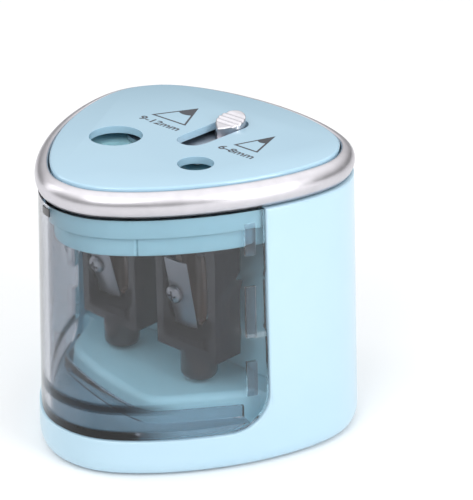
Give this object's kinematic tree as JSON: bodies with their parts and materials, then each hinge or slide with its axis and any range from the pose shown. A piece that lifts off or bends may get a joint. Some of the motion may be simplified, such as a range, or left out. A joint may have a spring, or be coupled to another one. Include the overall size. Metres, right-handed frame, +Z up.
{
  "type": "electric pencil sharpener",
  "caption": "Battery pencil sharpener: rounded-triangle tower with a wide and a narrow pencil hole, sliding hole shutter, spinning cutters and a clear pull-out shavings bin.",
  "frame": {"origin": "middle of the bounding box on the table plane, under the rounded-triangle outline", "axes": "+Z up; -Y towards the shavings bin at the front corner; +X towards the narrow pencil hole"},
  "size_m": [0.0852, 0.0836, 0.0806],
  "materials": {
    "shell": "pale blue moulded plastic, soft gloss",
    "inner": "pale blue moulded plastic",
    "panel": "pale blue, high gloss",
    "satin": "satin silver plating",
    "smoke": "clear smoky plastic",
    "carrier": "dark smoky plastic",
    "cone": "brown translucent plastic",
    "steel": "ground steel",
    "brass": "plain",
    "gear": "plain moulded",
    "dark": "plain moulded",
    "rubber": "plain",
    "cell": "printed sleeve, plain",
    "red": "wire insulation"
  },
  "bodies": {
    "housing": {"base_housing": "shell", "base_plate": "shell", "rubber_foot_1": "rubber", "rubber_foot_2": "rubber", "rubber_foot_3": "rubber", "base_screw_1": "steel", "base_screw_2": "steel", "base_screw_3": "steel", "base_screw_4": "steel", "chamber_wall": "inner", "gear_case": "inner", "upper_frame": "inner", "gear_cover": "inner", "cover_screw_1": "steel", "cover_screw_2": "steel", "cover_screw_3": "steel", "top_panel": "panel", "trim_ring": "satin", "central_pin": "steel", "reduction_pin": "steel", "motor_can": "steel", "motor_cap": "dark", "battery_cell_left": "cell", "battery_cell_right": "cell", "contact_bridge": "brass", "contact_rear_left": "brass", "contact_rear_right": "brass", "contact_spring": "steel", "wire_positive": "red", "wire_negative": "dark", "start_switch_large": "dark", "start_switch_small": "dark", "bin_switch": "dark"},
    "bin": {"shavings_bin": "smoke"},
    "slider": {"slider_knob": "satin", "shutter_plate": "satin"},
    "cutter_large": {"cutter_carrier_large": "carrier", "pencil_guide_large": "cone", "cutter_blade_large": "steel", "blade_screw_large": "steel", "ring_gear_large": "gear"},
    "cutter_small": {"cutter_carrier_small": "carrier", "pencil_guide_small": "cone", "cutter_blade_small": "steel", "blade_screw_small": "steel", "ring_gear_small": "gear"},
    "central_gear": {"central_gear": "gear"},
    "reduction_gear": {"reduction_gear": "gear"},
    "motor_rotor": {"motor_pinion": "brass", "motor_shaft": "steel"},
    "door": {"battery_door": "shell"}
  },
  "joints": [
    {"name": "bin_slide", "type": "slide", "parent": "housing", "child": "bin", "axis": [0, -1, 0], "range_m": [0, 0.062]},
    {"name": "shutter_slide", "type": "slide", "parent": "housing", "child": "slider", "axis": [0, -1, 0], "range_m": [0, 0.0122]},
    {"name": "cutter_large_spin", "type": "hinge", "parent": "housing", "child": "cutter_large", "pos_m": [-0.0134, -0.0075, 0.06], "axis": [0, 0, 1], "continuous": true},
    {"name": "cutter_small_spin", "type": "hinge", "parent": "housing", "child": "cutter_small", "pos_m": [0.015, -0.0075, 0.06], "axis": [0, 0, 1], "continuous": true},
    {"name": "central_gear_spin", "type": "hinge", "parent": "housing", "child": "central_gear", "pos_m": [0.0008, 0.0007, 0.06], "axis": [0, 0, 1], "continuous": true},
    {"name": "reduction_gear_spin", "type": "hinge", "parent": "housing", "child": "reduction_gear", "pos_m": [-0.0021, 0.01152, 0.06], "axis": [0, 0, 1], "continuous": true},
    {"name": "motor_spin", "type": "hinge", "parent": "housing", "child": "motor_rotor", "pos_m": [0.0008, 0.02481, 0.06], "axis": [0, 0, 1], "continuous": true},
    {"name": "battery_door_hinge", "type": "hinge", "parent": "housing", "child": "door", "pos_m": [0.001, 0.035, 0.0008], "axis": [1, 0, 0], "range_deg": [0, 80]}
  ],
  "couplings": [
    {"joint": "cutter_small_spin", "follows": "cutter_large_spin", "ratio": 1},
    {"joint": "central_gear_spin", "follows": "cutter_large_spin", "ratio": -1.9286},
    {"joint": "reduction_gear_spin", "follows": "cutter_large_spin", "ratio": 3.4714},
    {"joint": "motor_spin", "follows": "cutter_large_spin", "ratio": -8.3314}
  ]
}
